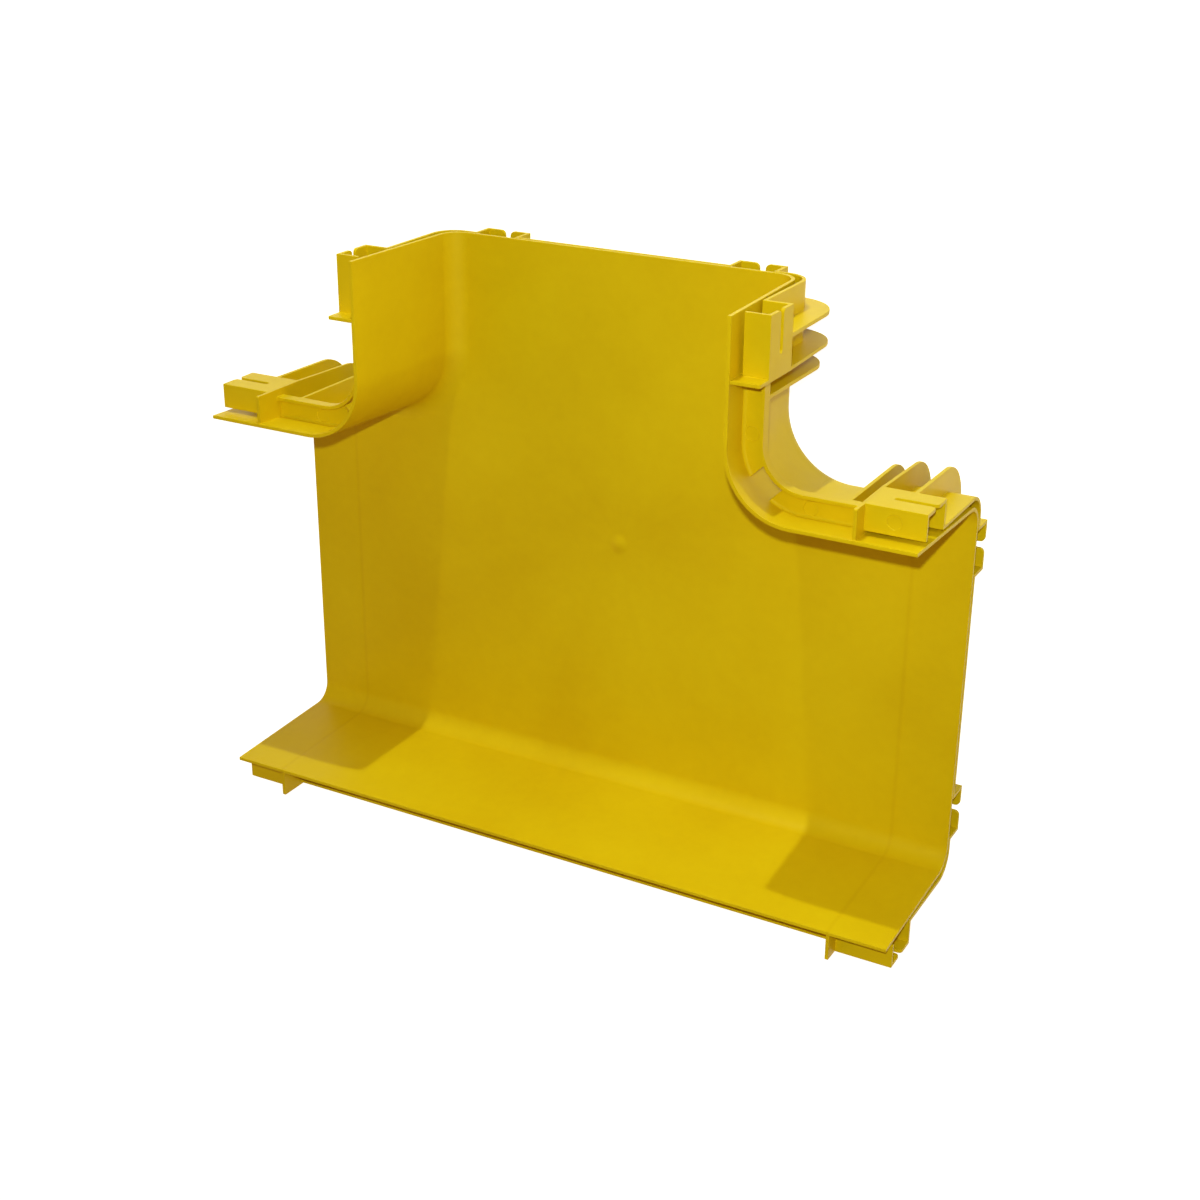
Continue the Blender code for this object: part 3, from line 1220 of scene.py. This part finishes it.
@dataclass(frozen=True)
class Studio:
    """Pale floor, lights and camera of a plain product picture."""

    floor_size: float = 12.0
    floor_albedo: float = 0.80
    floor_glow: float = 0.95
    branch_lamp: Place = (0.005, 1.330, 0.231)
    branch_power: float = 26.8
    branch_radius: float = 0.010
    front_lamp: Place = (0.505, 0.493, 0.982)
    front_power: float = 27.4
    front_radius: float = 0.011
    lamp_colour: Colour = (0.87, 1.0, 0.62)
    sky_plain: float = 0.03
    sky_right: Colour = (0.71, 0.46, 0.36)
    sky_left: Colour = (1.42, 0.97, 0.30)
    sky_behind: Colour = (0.12, 0.08, 0.05)
    camera_place: Place = (0.5209, 0.4326, 0.9826)
    camera_forward: Place = (-0.44319, -0.39474, -0.80483)
    camera_right: Place = (0.87597, 0.0, -0.48236)
    camera_roll: float = 0.47
    lens: float = 55.9
    sensor: float = 36.0

    def build(self) -> None:
        """Set up everything round the tee."""
        self.floor()
        self.world()
        self.lamp("branch_lamp", self.branch_lamp, self.branch_power, self.branch_radius)
        self.lamp("front_lamp", self.front_lamp, self.front_power, self.front_radius)
        self.camera()
        bpy.context.scene.view_settings.view_transform = "Standard"

    def floor(self) -> None:
        """Pale floor that the tee stands on, clear when it is seen from below."""
        half = self.floor_size / 2
        bm = bmesh.new()
        bmesh.ops.create_grid(bm, x_segments=1, y_segments=1, size=half)
        made = new_object("floor", bm)
        material = bpy.data.materials.new("floor_paint")
        material.use_nodes = True
        tree = Tree(material.node_tree)
        path = tree.node("ShaderNodeLightPath")
        mirrored_rays = path.out("Is Glossy Ray").larger(path.out("Is Transmission Ray"))
        seen = mirrored_rays.larger(path.out("Is Camera Ray"))
        paint = tree.node("ShaderNodeBsdfDiffuse", Color=(self.floor_albedo,) * 3 + (1.0,))
        glow = tree.node("ShaderNodeEmission", Strength=self.floor_glow)
        bright = tree.node("ShaderNodeAddShader", socket_0=paint, socket_1=glow)
        front = tree.node("ShaderNodeMixShader", socket_0=seen, socket_1=paint, socket_2=bright)
        clear = tree.node("ShaderNodeBsdfTransparent")
        back = tree.node("ShaderNodeNewGeometry").out("Backfacing")
        both = tree.node("ShaderNodeMixShader", socket_0=back, socket_1=front, socket_2=clear)
        tree.node("ShaderNodeOutputMaterial", Surface=both)
        made.data.materials.append(material)

    def world(self) -> None:
        """Soft, warm panels to the left and right, and a weak one at the back."""
        world = bpy.data.worlds.new("studio")
        world.use_nodes = True
        bpy.context.scene.world = world
        tree = Tree(world.node_tree)
        around = tree.node("ShaderNodeTexCoord").out("Generated")
        aim = tree.node("ShaderNodeSeparateXYZ", Vector=around)
        right = self.panel(tree, aim.out("X"), self.sky_right)
        left = self.panel(tree, 0.0 - aim.out("X"), self.sky_left)
        behind = self.panel(tree, 0.0 - aim.out("Y"), self.sky_behind)
        plain = (self.sky_plain,) * 3
        settings = {"operation": "ADD"}
        sides = tree.node("ShaderNodeVectorMath", settings, socket_0=left, socket_1=right)
        rest = tree.node("ShaderNodeVectorMath", settings, socket_0=behind, socket_1=plain)
        colour = tree.node("ShaderNodeVectorMath", settings, socket_0=sides, socket_1=rest)
        shine = tree.node("ShaderNodeBackground", Color=colour, Strength=1.0)
        tree.node("ShaderNodeOutputWorld", Surface=shine)

    def panel(self, tree: Tree, towards: Socket, colour: Colour) -> Socket:
        """Light from one side, which fades with the square of the cosine.

        Args:
            tree: The world's tree.
            towards: Cosine between the direction and the panel's middle.
            colour: Colour of the panel at its middle.

        Returns:
            The panel's light in the direction.
        """
        facing = towards.larger(0.0)
        settings = {"operation": "SCALE"}
        return tree.node("ShaderNodeVectorMath", settings, socket_0=colour, Scale=facing * facing)

    def lamp(self, name: str, place: Place, power: float, radius: float) -> None:
        """Add one small, bare lamp.

        Args:
            name: Name of the lamp.
            place: Where it stands, in the row frame.
            power: Its power in watts.
            radius: Its radius, which softens its shadows.
        """
        bulb = bpy.data.lights.new(name, "POINT")
        bulb.energy = power
        bulb.color = self.lamp_colour
        bulb.shadow_soft_size = radius
        made = bpy.data.objects.new(name, bulb)
        made.location = place
        bpy.context.scene.collection.objects.link(made)

    def camera(self) -> None:
        """Place the camera where the picture was taken from."""
        forward = Vector(self.camera_forward).normalized()
        right = Vector(self.camera_right).normalized()
        up = right.cross(forward)
        roll = math.radians(self.camera_roll)
        turned = right * math.cos(roll) + up * math.sin(roll)
        raised = up * math.cos(roll) - right * math.sin(roll)
        camera = bpy.data.cameras.new("camera")
        camera.lens = self.lens
        camera.sensor_width = self.sensor
        made = bpy.data.objects.new("camera", camera)
        basis = Matrix((turned, raised, -forward)).transposed().to_4x4()
        made.matrix_world = Matrix.Translation(self.camera_place) @ basis
        bpy.context.scene.collection.objects.link(made)
        bpy.context.scene.camera = made


def report(made: Object) -> None:
    """Log a finished piece's size and number of triangles.

    Args:
        made: The piece.
    """
    triangles = sum(len(face.vertices) - 2 for face in made.data.polygons)
    size = [round(1000 * edge, 1) for edge in made.dimensions]
    log.info("%s: %d triangles, %s mm", made.name, triangles, size)


def main() -> None:
    """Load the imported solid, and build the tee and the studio."""
    logging.basicConfig(level=logging.INFO, format="%(name)s: %(message)s")
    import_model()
    tee = RacewayTee(*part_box(NODE)).build()
    tee.name = "moulding"
    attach(tee, BODY)
    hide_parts(NODE)
    report(tee)
    Studio().build()


if __name__ == "__main__":
    main()
